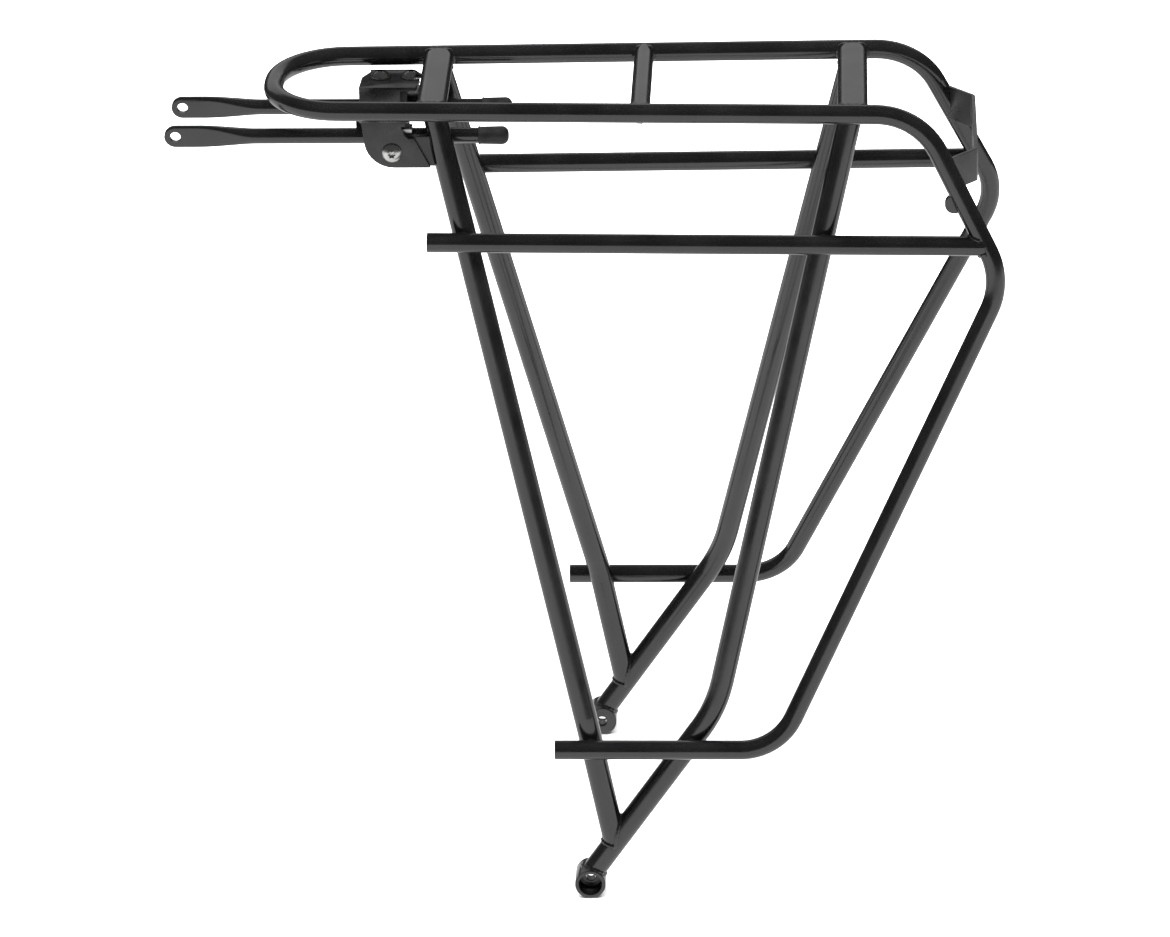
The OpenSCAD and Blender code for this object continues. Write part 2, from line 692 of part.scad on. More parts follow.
deck_and_side_tube();
flat_crossbar(front_top_x);  // front_crossbar
round_crossbar(middle_bar_x, deck_z, rail_d);  // middle_crossbar
flat_crossbar(rear_top_x);  // rear_crossbar
front_leg(LEFT);  // left_front_leg
front_leg(RIGHT);  // right_front_leg
rear_leg(LEFT);  // left_rear_leg
rear_leg(RIGHT);  // right_rear_leg
pannier_rail(LEFT);  // left_pannier_rail
pannier_rail(RIGHT);  // right_pannier_rail
foot_eye(LEFT);  // left_foot_eye
foot_eye(RIGHT);  // right_foot_eye
rail_end_plugs();
light_plate();
cable_boss();
lug_plate(LEFT);  // left_lug_plate
lug_plate(RIGHT);  // right_lug_plate
saddle(LEFT);  // left_saddle
saddle(RIGHT);  // right_saddle
tilt_bolt(LEFT);  // left_tilt_bolt
tilt_bolt(RIGHT);  // right_tilt_bolt
tilt_nut(LEFT);  // left_tilt_nut
tilt_nut(RIGHT);  // right_tilt_nut
clamp_shoe(LEFT);  // left_clamp_shoe
clamp_shoe(RIGHT);  // right_clamp_shoe
clamp_jaw(LEFT);  // left_clamp_jaw
clamp_jaw(RIGHT);  // right_clamp_jaw
clamp_bolts(LEFT);  // left_clamp_bolts
clamp_bolts(RIGHT);  // right_clamp_bolts
clamp_washers(LEFT);  // left_clamp_washers
clamp_washers(RIGHT);  // right_clamp_washers
stay(LEFT);  // left_stay
stay(RIGHT);  // right_stay
stay_cap(LEFT);  // left_stay_cap
stay_cap(RIGHT);  // right_stay_cap
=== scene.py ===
import math

import bpy
from mathutils import Matrix, Vector
from mathutils.bvhtree import BVHTree


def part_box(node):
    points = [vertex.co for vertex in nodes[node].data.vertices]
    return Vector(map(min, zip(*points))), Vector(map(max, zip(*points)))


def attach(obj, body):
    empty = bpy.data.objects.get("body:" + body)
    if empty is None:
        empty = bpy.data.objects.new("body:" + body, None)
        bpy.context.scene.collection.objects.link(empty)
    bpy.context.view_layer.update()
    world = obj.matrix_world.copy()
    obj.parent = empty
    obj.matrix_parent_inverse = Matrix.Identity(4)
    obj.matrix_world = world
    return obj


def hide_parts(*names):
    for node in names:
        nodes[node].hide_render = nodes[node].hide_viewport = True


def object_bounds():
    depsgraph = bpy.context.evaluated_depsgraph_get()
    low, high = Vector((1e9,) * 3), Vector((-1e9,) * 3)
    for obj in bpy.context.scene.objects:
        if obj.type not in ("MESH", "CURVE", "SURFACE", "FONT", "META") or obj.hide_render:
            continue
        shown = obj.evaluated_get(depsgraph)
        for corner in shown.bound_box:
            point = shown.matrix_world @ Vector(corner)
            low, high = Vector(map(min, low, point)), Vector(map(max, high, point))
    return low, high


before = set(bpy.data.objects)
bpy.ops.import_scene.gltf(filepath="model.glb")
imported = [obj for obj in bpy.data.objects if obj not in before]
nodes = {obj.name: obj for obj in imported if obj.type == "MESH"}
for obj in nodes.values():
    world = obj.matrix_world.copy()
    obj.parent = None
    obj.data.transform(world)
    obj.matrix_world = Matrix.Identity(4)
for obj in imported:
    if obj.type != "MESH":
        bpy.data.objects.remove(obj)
cad_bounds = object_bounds()
MM = 0.001
X, Z = 0, 2
SIDES = {"left": -1, "right": 1}


# ---- Tubes ----
# The carrier is cold-drawn steel tube, bent, coped and welded, then powder coated black as one piece. The
# powder melts into a thick gloss skin, so the eye sees long soft reflections with a faint orange peel.
def linear(hex_colour):
    parts = [int(hex_colour[i:i + 2], 16) / 255 for i in (1, 3, 5)]
    return [c / 12.92 if c <= 0.04045 else ((c + 0.055) / 1.055) ** 2.4 for c in parts] + [1.0]


def add_node(material, kind, settings=None, links=None):
    node = material.node_tree.nodes.new(kind)
    for name, value in (settings or {}).items():
        if isinstance(name, str) and hasattr(node, name):
            setattr(node, name, value)
        else:
            node.inputs[name].default_value = value
    for socket, source in (links or {}).items():
        material.node_tree.links.new(source, node.inputs[socket])
    return node


def new_material(name, colour, metallic, roughness, ior=1.5):
    material = bpy.data.materials.new(name)
    material.use_nodes = True
    shader = material.node_tree.nodes["Principled BSDF"]
    shader.inputs["Base Color"].default_value = linear(colour)
    shader.inputs["Metallic"].default_value = metallic
    shader.inputs["Roughness"].default_value = roughness
    shader.inputs["IOR"].default_value = ior
    return material, shader


def grain(material, size_mm, detail=2.0, stretch=(1, 1, 1)):
    """Noise whose spots are size_mm across, drawn out along an axis where stretch is below 1."""
    place = add_node(material, "ShaderNodeTexCoord")
    drawn = add_node(material, "ShaderNodeMapping", {"Scale": stretch}, {"Vector": place.outputs["Object"]})
    return add_node(material, "ShaderNodeTexNoise", {"Scale": 1 / (size_mm * MM), "Detail": detail},
                    {"Vector": drawn.outputs["Vector"]})


# Most of a noise's values lie between these two
NOISE_LOW, NOISE_HIGH = 0.35, 0.65


def vary(material, source, socket, low, high):
    span = {"From Min": NOISE_LOW, "From Max": NOISE_HIGH, "To Min": low, "To Max": high}
    spread = add_node(material, "ShaderNodeMapRange", span, {"Value": source.outputs["Fac"]})
    material.node_tree.links.new(spread.outputs["Result"], socket)


def vary_colour(material, source, socket, dark, light):
    ramp = add_node(material, "ShaderNodeValToRGB", links={"Fac": source.outputs["Fac"]})
    stops = zip(ramp.color_ramp.elements, (NOISE_LOW, NOISE_HIGH), (dark, light))
    for stop, position, colour in stops:
        stop.position = position
        stop.color = linear(colour)
    material.node_tree.links.new(ramp.outputs["Color"], socket)


def dent(material, shader, source, depth_mm):
    bump = add_node(material, "ShaderNodeBump", {"Distance": depth_mm * MM, "Strength": 1.0},
                    {"Height": source.outputs["Fac"]})
    material.node_tree.links.new(bump.outputs["Normal"], shader.inputs["Normal"])


# Powder coat: pigmented polyester, which mirrors a little more than clear plastic. Orange peel is 3 mm
# across, and the film pulls thinner and rougher in patches of 18 to 25 mm.
powder, powder_shader = new_material("gloss black powder coat", "#0c0c0d", metallic=0.0, roughness=0.18,
                                     ior=1.7)
vary_colour(powder, grain(powder, 25), powder_shader.inputs["Base Color"], "#09090a", "#101011")
vary(powder, grain(powder, 18, detail=4.0), powder_shader.inputs["Roughness"], 0.14, 0.22)
dent(powder, powder_shader, grain(powder, 3, detail=1.0), 0.012)


def finish(thing, material):
    thing.data.materials.clear()
    thing.data.materials.append(material)


TUBES = ["deck_and_side_tube", "front_crossbar", "middle_crossbar", "rear_crossbar", "rail_end_plugs"]
for label in SIDES:
    TUBES += [label + "_front_leg", label + "_rear_leg", label + "_pannier_rail"]
for name in TUBES:
    finish(nodes[name], powder)


# ---- Weld beads ----
# Each coped end is welded all round to the tube that it meets, before the coat goes on. The bead is about
# 2 mm wide with soft ripples, one for each dab of the torch, rounded off by the powder.
BEAD_R = 1.1 * MM
WELD_SMOOTH_ANGLE = 60
BEAD_RIPPLE = 0.12
RIPPLE_LENGTH = 2.2 * MM
BEAD_STEPS = 96
BEAD_ROUNDNESS = 3
# A bead has a flattened tube's whole spread from 1 / FLAT_EASE of the way out to the tube's sides
FLAT_EASE = 1.6
DRESSED_BY = 0.3 * MM
RAIL_R = 5 * MM
LEG_R = 6 * MM


def centre_at(name, axis, place, side=0, below=None):
    """Middle of the section that a plane cuts through a tube, on one side of the rack, below a height."""
    mesh = nodes[name].data
    cut = []
    for edge in mesh.edges:
        a, b = (mesh.vertices[i].co for i in edge.vertices)
        if side * (a.y + b.y) >= 0 and (a[axis] - place) * (b[axis] - place) < 0:
            point = a.lerp(b, (place - a[axis]) / (b[axis] - a[axis]))
            if below is None or point.z < below:
                cut.append(point)
    return Vector([(min(p[i] for p in cut) + max(p[i] for p in cut)) / 2 for i in range(3)])


def run_height(name, at_x, side):
    """Height of the lowest run of a bent tube at at_x, on one side of the rack."""
    mesh = nodes[name].data
    heights = []
    for edge in mesh.edges:
        a, b = (mesh.vertices[i].co for i in edge.vertices)
        if side * a.y > 0 and side * b.y > 0 and (a.x - at_x) * (b.x - at_x) < 0:
            heights.append(a.lerp(b, (at_x - a.x) / (b.x - a.x)).z)
    return min(heights) + RAIL_R


def surface_of(name):
    mesh = nodes[name].data
    corners = [vertex.co.copy() for vertex in mesh.vertices]
    return BVHTree.FromPolygons(corners, [tuple(face.vertices) for face in mesh.polygons])


def bead(start, end, tube_r, onto, spread=0.0):
    """Bead where the tube round the line from start to end runs into another piece. A tube that is pressed
    flat has half-round sides, spread apart along X."""
    run = (end - start).normalized()
    out_of_run = run.orthogonal().normalized()
    target = surface_of(onto)
    points = []
    for step in range(BEAD_STEPS):
        out = Matrix.Rotation(2 * math.pi * step / BEAD_STEPS, 3, run) @ out_of_run
        sideways = Vector((math.copysign(min(abs(out.x) * FLAT_EASE, 1), out.x) * spread, 0, 0))
        hit = target.ray_cast(start + out * tube_r + sideways, run)[0]
        if hit:
            points.append((step, hit))
    closed = len(points) == BEAD_STEPS
    if not closed:
        breaks = [i for i in range(len(points)) if (points[i][0] - points[i - 1][0]) % BEAD_STEPS != 1]
        points = points[breaks[0]:] + points[:breaks[0]]
    curve = bpy.data.curves.new("bead", "CURVE")
    curve.dimensions = "3D"
    curve.bevel_depth = BEAD_R
    curve.bevel_resolution = BEAD_ROUNDNESS
    curve.use_fill_caps = True
    spline = curve.splines.new("POLY")
    spline.points.add(len(points) - 1)
    spline.use_cyclic_u = closed
    laid = 0.0
    for i, (_, hit) in enumerate(points):
        laid += (hit - points[max(i - 1, 0)][1]).length
        spline.points[i].co = (*hit, 1)
        spline.points[i].radius = 1 + BEAD_RIPPLE * math.sin(2 * math.pi * laid / RIPPLE_LENGTH)
    thing = bpy.data.objects.new("bead", curve)
    bpy.context.scene.collection.objects.link(thing)
    return thing


def choose(things):
    bpy.ops.object.select_all(action="DESELECT")
    for thing in things:
        thing.select_set(True)
    bpy.context.view_layer.objects.active = things[0]


def joined(label, things):
    choose(things)
    if things[0].type == "CURVE":
        bpy.ops.object.convert(target="MESH")
    if len(things) > 1:
        bpy.ops.object.join()
    piece = bpy.context.object
    piece.name = label
    return piece


def fit(piece, material, body, smooth_angle=35):
    choose([piece])
    bpy.ops.object.shade_smooth_by_angle(angle=math.radians(smooth_angle))
    finish(piece, material)
    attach(piece, body)


crossbar_beads = []
for name in ("front_crossbar", "middle_crossbar", "rear_crossbar"):
    low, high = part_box(name)
    middle = (low + high) / 2
    bar_r = (high.z - low.z) / 2
    spread = (high.x - low.x) / 2 - bar_r
    for side in SIDES.values():
        outward = middle + Vector((0, side, 0))
        crossbar_beads.append(bead(middle, outward, bar_r, "deck_and_side_tube", spread))
crossbar_welds = joined("crossbar_welds", crossbar_beads)
# The deck is dressed level after welding, so no bead stands above the rails to catch a strap.
for vertex in crossbar_welds.data.vertices:
    vertex.co.z = min(vertex.co.z, cad_bounds[1].z - DRESSED_BY)
fit(crossbar_welds, powder, "carrier", WELD_SMOOTH_ANGLE)

# Two heights on a straight run of a leg, or two places along a pannier rail, give the run its line
UPPER_RUN = (250 * MM, 350 * MM)
FRONT_FOOT_RUN = (75 * MM, 55 * MM)
STRUT_RUN = (50 * MM, 30 * MM)
RAIL_RUN = (0, 100 * MM)


def run_bead(tube, axis, run, tube_r, onto):
    return bead(centre_at(tube, axis, run[0]), centre_at(tube, axis, run[1]), tube_r, onto)


for label in SIDES:
    front_leg, rear_leg = label + "_front_leg", label + "_rear_leg"
    beads = [run_bead(front_leg, Z, UPPER_RUN, LEG_R, "front_crossbar"),
             run_bead(rear_leg, Z, UPPER_RUN, LEG_R, "rear_crossbar"),
             run_bead(front_leg, Z, FRONT_FOOT_RUN, LEG_R, rear_leg),
             run_bead(rear_leg, Z, STRUT_RUN, LEG_R, label + "_foot_eye"),
             run_bead(label + "_pannier_rail", X, RAIL_RUN, RAIL_R, "deck_and_side_tube")]
    fit(joined(label + "_leg_welds", beads), powder, "carrier", WELD_SMOOTH_ANGLE)


# ---- Crossing welds ----
# Where a rail lies against the outside of a leg the two touch at a point, and a short weld fills the hollow
# round it. It shows as a flat nugget between the two tubes.
NUGGET_R = 3.8 * MM
NUGGET_T = 1.6 * MM
NUGGET_RIPPLE = 0.06
NUGGET_DABS = 9
NUGGET_SIDES = 36
NUGGET_RINGS = 18


def nugget(rail, height, leg, side):
    on_leg = centre_at(leg, Z, height)
    on_rail = centre_at(rail, X, on_leg.x, side, height + 2 * RAIL_R)
    line = (on_rail - on_leg).normalized()
    bpy.ops.object.select_all(action="DESELECT")
    bpy.ops.mesh.primitive_uv_sphere_add(segments=NUGGET_SIDES, ring_count=NUGGET_RINGS, radius=1)
    thing = bpy.context.object
    for vertex in thing.data.vertices:
        dab = 1 + NUGGET_RIPPLE * math.sin(NUGGET_DABS * math.atan2(vertex.co.y, vertex.co.x))
        vertex.co = (vertex.co.x * NUGGET_R * dab, vertex.co.y * NUGGET_R * dab, vertex.co.z * NUGGET_T)
    turn = line.to_track_quat("Z", "Y").to_matrix().to_4x4()
    thing.data.transform(Matrix.Translation(on_leg + line * LEG_R) @ turn)
    return thing


lower_rail = "deck_and_side_tube"
for label, side in SIDES.items():
    upper_rail = label + "_pannier_rail"
    upper_height = sum(corner.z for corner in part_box(upper_rail)) / 2
    lower_height = run_height(lower_rail, 0.0, side)
    nuggets = []
    for leg in (label + "_front_leg", label + "_rear_leg"):
        nuggets.append(nugget(upper_rail, upper_height, leg, side))
        nuggets.append(nugget(lower_rail, lower_height, leg, side))
    fit(joined(label + "_crossing_welds", nuggets), powder, "carrier", WELD_SMOOTH_ANGLE)


# ---- Sheet parts ----
# The light plate, the lug plates and the saddles are laser-cut from steel sheet and folded, tumbled so that
# the edges are softly rounded, and coated with the tubes. Sheet takes the powder a little duller than tube.
sheet, sheet_shader = new_material("satin black powder coat", "#101011", metallic=0.0, roughness=0.3,
                                   ior=1.6)
vary_colour(sheet, grain(sheet, 12), sheet_shader.inputs["Base Color"], "#0c0c0d", "#141415")
vary(sheet, grain(sheet, 9, detail=4.0), sheet_shader.inputs["Roughness"], 0.24, 0.36)
dent(sheet, sheet_shader, grain(sheet, 1.6, detail=1.0), 0.012)

MERGE = 0.001 * MM
FLAT_WITHIN = 0.6
PLATE_EDGE = 0.35 * MM
BOSS_EDGE = 0.5 * MM
LUG_EDGE = 0.4 * MM
SADDLE_EDGE = 0.45 * MM
EYE_EDGE = 0.4 * MM


def bench_copy(name, label):
    """Copy of a CAD piece with its triangles merged back into whole faces, ready to be worked on."""
    piece = bpy.data.objects.new(label, nodes[name].data.copy())
    bpy.context.scene.collection.objects.link(piece)
    choose([piece])
    bpy.ops.mesh.customdata_custom_splitnormals_clear()
    bpy.ops.object.mode_set(mode="EDIT")
    bpy.ops.mesh.select_all(action="SELECT")
    bpy.ops.mesh.remove_doubles(threshold=MERGE)
    bpy.ops.mesh.dissolve_limited(angle_limit=math.radians(FLAT_WITHIN))
    bpy.ops.object.mode_set(mode="OBJECT")
    return piece


def round_edges(piece, width, sharper_than=40, rounds=3):
    bevel = piece.modifiers.new("rounded edges", "BEVEL")
    bevel.width = width
    bevel.segments = rounds
    bevel.limit_method = "ANGLE"
    bevel.angle_limit = math.radians(sharper_than)
    choose([piece])
    bpy.ops.object.modifier_apply(modifier=bevel.name)


def rounded_part(name, label, width, material, body):
    piece = bench_copy(name, label)
    round_edges(piece, width)
    fit(piece, material, body)
    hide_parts(name)


rounded_part("light_plate", "folded_light_plate", PLATE_EDGE, sheet, "carrier")
rounded_part("cable_boss", "wire_boss", BOSS_EDGE, powder, "carrier")
for label in SIDES:
    body = label + "_saddle"
    rounded_part(label + "_lug_plate", label + "_tilt_lug", LUG_EDGE, sheet, "carrier")
    rounded_part(label + "_saddle", label + "_folded_saddle", SADDLE_EDGE, sheet, body)
    rounded_part(label + "_foot_eye", label + "_bolt_eye", EYE_EDGE, powder, "carrier")


# ---- Clamp jaws, nuts and washers ----
# The jaw is a stainless strip bent into a hook under the stay, and the nuts and washers are bought
# stainless parts. Rolled and drawn stainless is bright grey, with fine lines along the rolling direction.
stainless, stainless_shader = new_material("drawn stainless steel", "#c4c4c2", metallic=1.0, roughness=0.3)
vary_colour(stainless, grain(stainless, 4), stainless_shader.inputs["Base Color"], "#b8b8b6", "#cfcfcc")
vary(stainless, grain(stainless, 2.5, detail=4.0), stainless_shader.inputs["Roughness"], 0.22, 0.38)
ROLLED_ALONG_X = (0.08, 1, 1)
dent(stainless, stainless_shader, grain(stainless, 0.6, detail=2.0, stretch=ROLLED_ALONG_X), 0.01)
JAW_EDGE = 0.35 * MM
NUT_EDGE = 0.3 * MM
WASHER_EDGE = 0.15 * MM
for label in SIDES:
    body = label + "_saddle"
    rounded_part(label + "_clamp_jaw", label + "_hooked_jaw", JAW_EDGE, stainless, body)
    rounded_part(label + "_tilt_nut", label + "_lock_nut", NUT_EDGE, stainless, body)
    rounded_part(label + "_clamp_washers", label + "_flat_washers", WASHER_EDGE, stainless, body)


# ---- Clamp shoes ----
# Moulded glass-filled nylon blocks that grip the stay without marking its coat. The mould leaves a fine,
# even, slightly silky texture.
nylon, nylon_shader = new_material("moulded black nylon", "#161617", metallic=0.0, roughness=0.5)
vary_colour(nylon, grain(nylon, 3), nylon_shader.inputs["Base Color"], "#121213", "#1b1b1c")
vary(nylon, grain(nylon, 2), nylon_shader.inputs["Roughness"], 0.42, 0.58)
dent(nylon, nylon_shader, grain(nylon, 0.5, detail=2.0), 0.015)
SHOE_EDGE = 0.5 * MM
for label in SIDES:
    body = label + "_saddle"
    rounded_part(label + "_clamp_shoe", label + "_grip_shoe", SHOE_EDGE, nylon, body)


# ---- Screws ----
# Stainless button-head screws with a six-lobe socket: M6 for the tilt and M5 for the clamps. The head is
# cold formed, so it is a smooth bright dome with a rolled rim. The thread is plain grooves, not a helix.
LOBES = 6
LOBE_STEPS = 10
LOBE_SHAPE = 0.16
HEAD_RIM = 0.35 * MM
DOME_STEPS = 12
# A thread's depth is a share of its pitch, and a socket's width and floor are shares of the head's size
THREAD_DEPTH = 0.55
SOCKET_SHARE = 0.38
SOCKET_FLOOR = 0.25
TURN_STEPS = 64


def turned(label, outline, place, lean):
    """Piece turned from an outline of (radius, height) points, then leant and put in its place."""
    mesh = bpy.data.meshes.new(label)
    mesh.from_pydata([(radius, 0, height) for radius, height in outline],
                     [(i, i + 1) for i in range(len(outline) - 1)], [])
    piece = bpy.data.objects.new(label, mesh)
    bpy.context.scene.collection.objects.link(piece)
    choose([piece])
    bpy.ops.object.mode_set(mode="EDIT")
    bpy.ops.mesh.select_all(action="SELECT")
    bpy.ops.mesh.spin(steps=TURN_STEPS, angle=2 * math.pi, center=(0, 0, 0), axis=(0, 0, 1))
    bpy.ops.mesh.select_all(action="SELECT")
    bpy.ops.mesh.remove_doubles(threshold=MERGE)
    bpy.ops.mesh.normals_make_consistent(inside=False)
    bpy.ops.object.mode_set(mode="OBJECT")
    piece.data.transform(Matrix.Translation(place) @ lean)
    return piece


def arc(centre, radius, from_deg, to_deg, steps):
    angles = [math.radians(from_deg + (to_deg - from_deg) * i / steps) for i in range(steps + 1)]
    return [(centre[0] + radius * math.cos(a), centre[1] + radius * math.sin(a)) for a in angles]


def cut_away(piece, tool):
    """Cuts the tool out of the piece and throws the tool away."""
    cut = piece.modifiers.new("cut", "BOOLEAN")
    cut.operation = "DIFFERENCE"
    cut.object = tool
    cut.solver = "EXACT"
    choose([piece])
    bpy.ops.object.modifier_apply(modifier=cut.name)
    bpy.data.objects.remove(tool)


def button_screw(label, under_head, lean, shank_d, pitch, head_d, head_h, length):
    dome_h = head_h - HEAD_RIM
    dome_r = ((head_d / 2) ** 2 + dome_h ** 2) / (2 * dome_h)
    flank = math.degrees(math.asin(head_d / 2 / dome_r))
    outline = arc((0, head_h - dome_r), dome_r, from_deg=90, to_deg=90 - flank, steps=DOME_STEPS)
    outline += [(head_d / 2, HEAD_RIM / 2), (head_d / 2 - HEAD_RIM / 2, 0), (shank_d / 2, 0)]
    height = -pitch
    while height - pitch > -length:
        outline += [(shank_d / 2, height), (shank_d / 2 - THREAD_DEPTH * pitch, height - pitch / 2)]
        height -= pitch
    outline += [(shank_d / 2, height), (shank_d / 2 - pitch / 2, -length), (0, -length)]
    screw = turned(label, outline, (0, 0, 0), Matrix.Identity(4))
    socket_r = SOCKET_SHARE * head_d / 2
    bpy.ops.object.select_all(action="DESELECT")
    bpy.ops.mesh.primitive_cylinder_add(vertices=LOBE_STEPS * LOBES, radius=1, depth=2 * head_h,
                                        location=(0, 0, (1 + SOCKET_FLOOR) * head_h))
    driver = bpy.context.object
    driver.data.transform(driver.matrix_world)
    driver.matrix_world = Matrix.Identity(4)
    for vertex in driver.data.vertices:
        lobe = 1 - LOBE_SHAPE * (1 - math.cos(LOBES * math.atan2(vertex.co.y, vertex.co.x)))
        vertex.co = (vertex.co.x * socket_r * lobe, vertex.co.y * socket_r * lobe, vertex.co.z)
    cut_away(screw, driver)
    screw.data.transform(Matrix.Translation(under_head) @ lean)
    return screw


# A head is its diameter and height, and a shank is its diameter over the thread and its pitch
HEAD_M6 = (10.5 * MM, 3.3 * MM)
HEAD_M5 = (9.5 * MM, 2.75 * MM)
SHANK_M6 = (5.9 * MM, 1 * MM)
SHANK_M5 = (4.9 * MM, 0.8 * MM)
for label, side in SIDES.items():
    low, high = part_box(label + "_tilt_bolt")
    outer = side * max(abs(low.y), abs(high.y))
    under_head = Vector(((low.x + high.x) / 2, outer - side * HEAD_M6[1], (low.z + high.z) / 2))
    lean = Matrix.Rotation(math.radians(-90 * side), 4, "X")
    length = high.y - low.y - HEAD_M6[1]
    screw = button_screw(label + "_tilt_screw", under_head, lean, *SHANK_M6, *HEAD_M6, length)
    fit(screw, stainless, label + "_saddle")
    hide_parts(label + "_tilt_bolt")
    low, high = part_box(label + "_clamp_bolts")
    length = high.z - low.z - HEAD_M5[1]
    pair = []
    for at_x in (low.x + HEAD_M5[0] / 2, high.x - HEAD_M5[0] / 2):
        under_head = Vector((at_x, (low.y + high.y) / 2, high.z - HEAD_M5[1]))
        pair.append(button_screw("clamp screw", under_head, Matrix.Identity(4), *SHANK_M5, *HEAD_M5, length))
    screws = joined(label + "_clamp_screws", pair)
    fit(screws, stainless, label + "_saddle")
    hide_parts(label + "_clamp_bolts")


# ---- Stays ----
# Solid 8 mm steel rods. The front end is swaged flat in a press while hot, so the round runs smoothly into
# the flat, then drilled for the seat-stay bolt and coated. The flat's edges keep the roundness of the bar.
STAY_R = 4 * MM
TIP_HALF_W = 5.75 * MM
TIP_HALF_T = 1.5 * MM
TIP_END_HALF_W = 0.1 * MM
TIP_FLAT = 11 * MM
TIP_SWELL = 30 * MM
EYE_R = 2.75 * MM
TIP_RINGS = 10
SWELL_RINGS = 20
STAY_SIDES = 48
ROUND_POWER = 2.0
FLAT_POWER = 5.0


def eased(share):
    share = min(max(share, 0), 1)
    return share * share * (3 - 2 * share)


def cut_rings(piece, places):
    """Cuts a ring of edges across a piece at each place along X."""
    choose([piece])
    bpy.ops.object.mode_set(mode="EDIT")
    for place in places:
        bpy.ops.mesh.select_all(action="SELECT")
        bpy.ops.mesh.bisect(plane_co=(place, 0, 0), plane_no=(1, 0, 0))
    bpy.ops.object.mode_set(mode="OBJECT")


for label in SIDES:
    low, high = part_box(label + "_stay")
    middle_y, middle_z = (low.y + high.y) / 2, (low.z + high.z) / 2
    length = high.x - low.x
    eye_x = low.x + TIP_HALF_W
    bpy.ops.object.select_all(action="DESELECT")
    bpy.ops.mesh.primitive_cylinder_add(vertices=STAY_SIDES, radius=STAY_R, depth=length,
                                        end_fill_type="NGON", rotation=(0, math.radians(90), 0),
                                        location=(low.x + length / 2, 0, 0))
    stay = bpy.context.object
    stay.name = label + "_swaged_stay"
    stay.data.transform(stay.matrix_world)
    stay.matrix_world = Matrix.Identity(4)
    tip = [eye_x - TIP_HALF_W * math.cos(math.radians(90) * i / TIP_RINGS)
           for i in range(1, TIP_RINGS + 1)]
    swell = [eye_x + TIP_FLAT + TIP_SWELL * i / SWELL_RINGS for i in range(SWELL_RINGS + 1)]
    cut_rings(stay, tip + swell)
    for vertex in stay.data.vertices:
        x, y, z = vertex.co
        swollen = eased((x - eye_x - TIP_FLAT) / TIP_SWELL)
        half_w = TIP_HALF_W + (STAY_R - TIP_HALF_W) * swollen
        half_t = TIP_HALF_T + (STAY_R - TIP_HALF_T) * swollen
        if x < eye_x:
            half_w = math.sqrt(max(TIP_HALF_W ** 2 - (x - eye_x) ** 2, TIP_END_HALF_W ** 2))
        power = 2 / (FLAT_POWER + (ROUND_POWER - FLAT_POWER) * swollen)
        angle = math.atan2(z, y)
        across_bar = math.copysign(abs(math.cos(angle)) ** power, math.cos(angle))
        up_bar = math.copysign(abs(math.sin(angle)) ** power, math.sin(angle))
        vertex.co = (x, middle_y + half_t * across_bar, middle_z + half_w * up_bar)
    bpy.ops.mesh.primitive_cylinder_add(vertices=STAY_SIDES, radius=EYE_R, depth=4 * TIP_HALF_T,
                                        rotation=(math.radians(90), 0, 0),
                                        location=(eye_x, middle_y, middle_z))
    cut_away(stay, bpy.context.object)
    fit(stay, powder, label + "_stay")
    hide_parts(label + "_stay")


# ---- Stay caps ----
# Dip-moulded vinyl caps pushed over the cut ends of the stays. They are matt, have a rolled lip at the
# mouth and a rounded end, and are a little stretched by the rod.
vinyl, vinyl_shader = new_material("dip-moulded black vinyl", "#141415", metallic=0.0, roughness=0.55)
vary_colour(vinyl, grain(vinyl, 5), vinyl_shader.inputs["Base Color"], "#101011", "#19191a")
vary(vinyl, grain(vinyl, 3), vinyl_shader.inputs["Roughness"], 0.45, 0.62)
dent(vinyl, vinyl_shader, grain(vinyl, 0.8, detail=2.0), 0.02)
BORE_GAP = 0.02 * MM
MOUTH_EASE = 0.2 * MM
END_T = 2 * MM
LIP_R = 0.45 * MM
LIP_LENGTH = 3 * LIP_R
END_ROUND = 3.6 * MM
WALL_DIP = 0.25 * MM
for label in SIDES:
    low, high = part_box(label + "_stay_cap")
    cap_r = (high.z - low.z) / 2
    cap_len = high.x - low.x
    bore_r = STAY_R + BORE_GAP
    outline = [(bore_r, cap_len - END_T), (bore_r, MOUTH_EASE)]
    outline += arc((cap_r - LIP_R, LIP_R), LIP_R, from_deg=250, to_deg=360, steps=6)
    outline += arc((cap_r - WALL_DIP + LIP_R, LIP_LENGTH), LIP_R, from_deg=210, to_deg=180, steps=3)
    outline += arc((cap_r - END_ROUND, cap_len - END_ROUND), END_ROUND, from_deg=0, to_deg=90,
                   steps=12)
    outline.append((0, cap_len))
    place = Vector((low.x, (low.y + high.y) / 2, (low.z + high.z) / 2))
    cap = turned(label + "_vinyl_cap", outline, place, Matrix.Rotation(math.radians(90), 4, "Y"))
    fit(cap, vinyl, label + "_cap")
    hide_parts(label + "_stay_cap")


# ---- Floor, lamps and camera ----
# A wide lamp overhead lights the rack evenly but is not mirrored in it. The long lamp behind is, as a bright
# line along the tubes. The paper glows though it is no lamp, seen only in glossy rays: a painted reflection,
# bright in front of the rack and fading to a painted dark behind it.
FLOOR_SIZE = 24
FLOOR_GAP = 0.2 * MM
FLOOR_PAINTED_GLOW = 1.15
FLOOR_PAINTED_DARK = 0.03
FADE_FROM = 0.5
FADE_TO = 1.4
bpy.ops.object.select_all(action="DESELECT")
bpy.ops.mesh.primitive_plane_add(size=FLOOR_SIZE, location=(0, 0, cad_bounds[0][2] - FLOOR_GAP))
floor = bpy.context.object
floor.name = "floor"
floor.data.transform(floor.matrix_world)
floor.matrix_world = Matrix.Identity(4)
paper, paper_shader = new_material("pale paper with painted reflection glow", "#f4f4f4", metallic=0.0, roughness=0.9)
paper_shader.inputs["Specular IOR Level"].default_value = 0.0
where = add_node(paper, "ShaderNodeTexCoord")
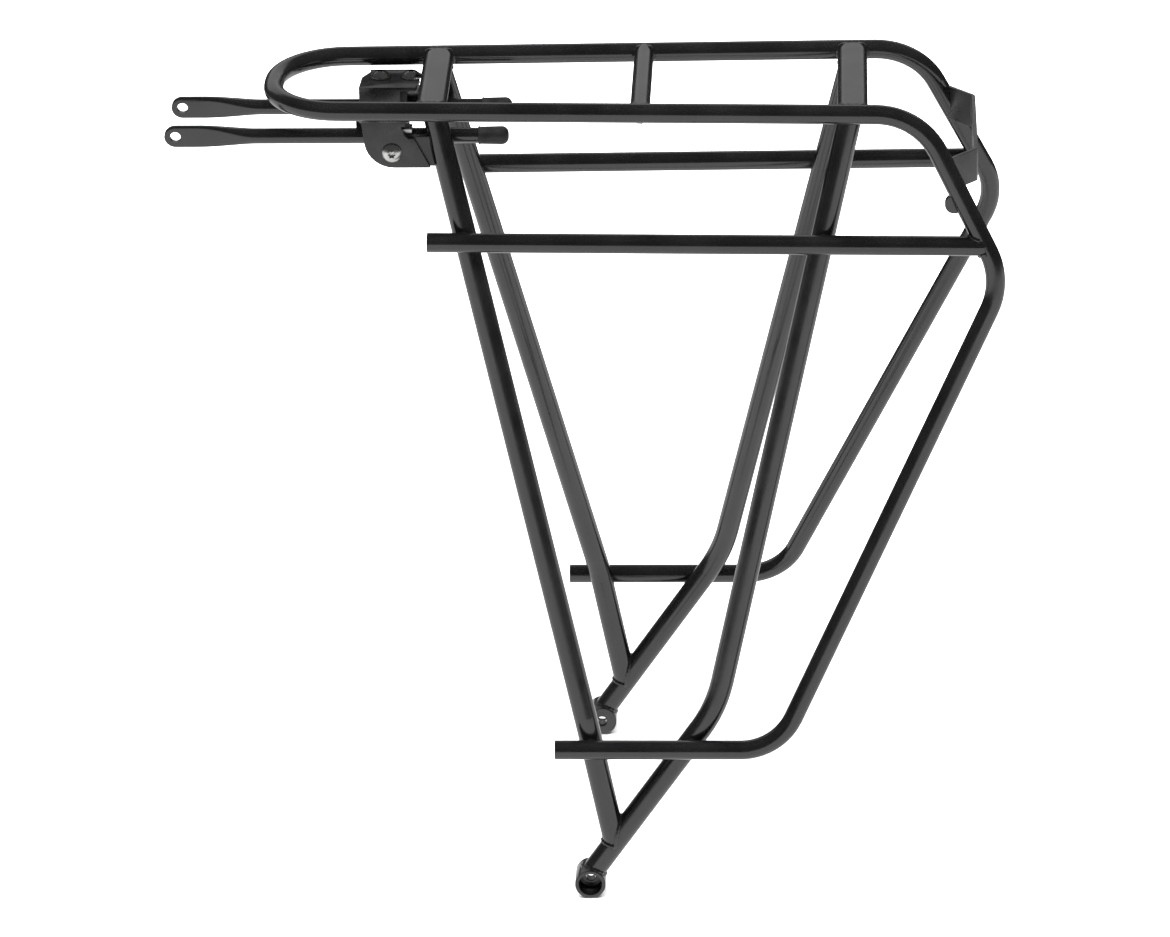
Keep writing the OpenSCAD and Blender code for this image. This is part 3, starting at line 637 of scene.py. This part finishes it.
split = add_node(paper, "ShaderNodeSeparateXYZ", links={"Vector": where.outputs["Object"]})
# Painted reflection: an emission on the paper that only glossy rays see, strong in front of the rack and
# fading out behind it
span = {"From Min": FADE_FROM, "From Max": FADE_TO, "To Min": FLOOR_PAINTED_GLOW, "To Max": FLOOR_PAINTED_DARK}
fade = add_node(paper, "ShaderNodeMapRange", span, {"Value": split.outputs["Y"]})
painted_glow = add_node(paper, "ShaderNodeEmission", links={"Strength": fade.outputs["Result"]})
path = add_node(paper, "ShaderNodeLightPath")
mix = add_node(paper, "ShaderNodeMixShader", links={"Fac": path.outputs["Is Glossy Ray"]})
paper.node_tree.links.new(paper_shader.outputs["BSDF"], mix.inputs[1])
paper.node_tree.links.new(painted_glow.outputs["Emission"], mix.inputs[2])
paper.node_tree.links.new(mix.outputs["Shader"], paper.node_tree.nodes["Material Output"].inputs["Surface"])
finish(floor, paper)


def soft_lamp(name, place, aim, width, height, watts, seen_in_gloss):
    light = bpy.data.lights.new(name, "AREA")
    light.shape = "RECTANGLE"
    light.size = width
    light.size_y = height
    light.energy = watts
    lamp = bpy.data.objects.new(name, light)
    bpy.context.scene.collection.objects.link(lamp)
    lamp.location = place
    lamp.rotation_euler = (Vector(aim) - Vector(place)).to_track_quat("-Z", "Y").to_euler()
    lamp.visible_glossy = seen_in_gloss


soft_lamp("overhead lamp", place=(0, 0, 4.5), aim=(0, 0, 0), width=6, height=6, watts=1100,
          seen_in_gloss=False)
soft_lamp("back lamp", place=(-0.8, 5.5, 3.1), aim=(0, 0, 0.4), width=10, height=3.8, watts=70,
          seen_in_gloss=True)

WORLD_LIGHT = 0.08
world = bpy.data.worlds.new("studio")
bpy.context.scene.world = world
world.use_nodes = True
world.node_tree.nodes["Background"].inputs["Color"].default_value = (1, 1, 1, 1)
world.node_tree.nodes["Background"].inputs["Strength"].default_value = WORLD_LIGHT

SENSOR_WIDTH = 36
LENS_LENGTH = 195.589846
CAMERA_PLACE = (0.129, -3.0, 1.6)
CAMERA_PITCH = 0.438359
CAMERA_YAW = -0.0439114
CAMERA_ROLL = -0.0200322
flat = math.cos(CAMERA_PITCH)
aim = Vector((math.sin(CAMERA_YAW) * flat, math.cos(CAMERA_YAW) * flat, -math.sin(CAMERA_PITCH)))
level = Vector((math.cos(CAMERA_YAW), -math.sin(CAMERA_YAW), 0))
upright = level.cross(aim)
across = level * math.cos(CAMERA_ROLL) + upright * math.sin(CAMERA_ROLL)
upward = upright * math.cos(CAMERA_ROLL) - level * math.sin(CAMERA_ROLL)
camera_data = bpy.data.cameras.new("camera")
camera = bpy.data.objects.new("camera", camera_data)
bpy.context.scene.collection.objects.link(camera)
turn = Matrix((across, upward, -aim)).transposed().to_4x4()
camera.matrix_world = Matrix.Translation(CAMERA_PLACE) @ turn
camera_data.sensor_width = SENSOR_WIDTH
camera_data.lens = LENS_LENGTH
bpy.context.scene.camera = camera
bpy.context.scene.view_settings.view_transform = "Standard"
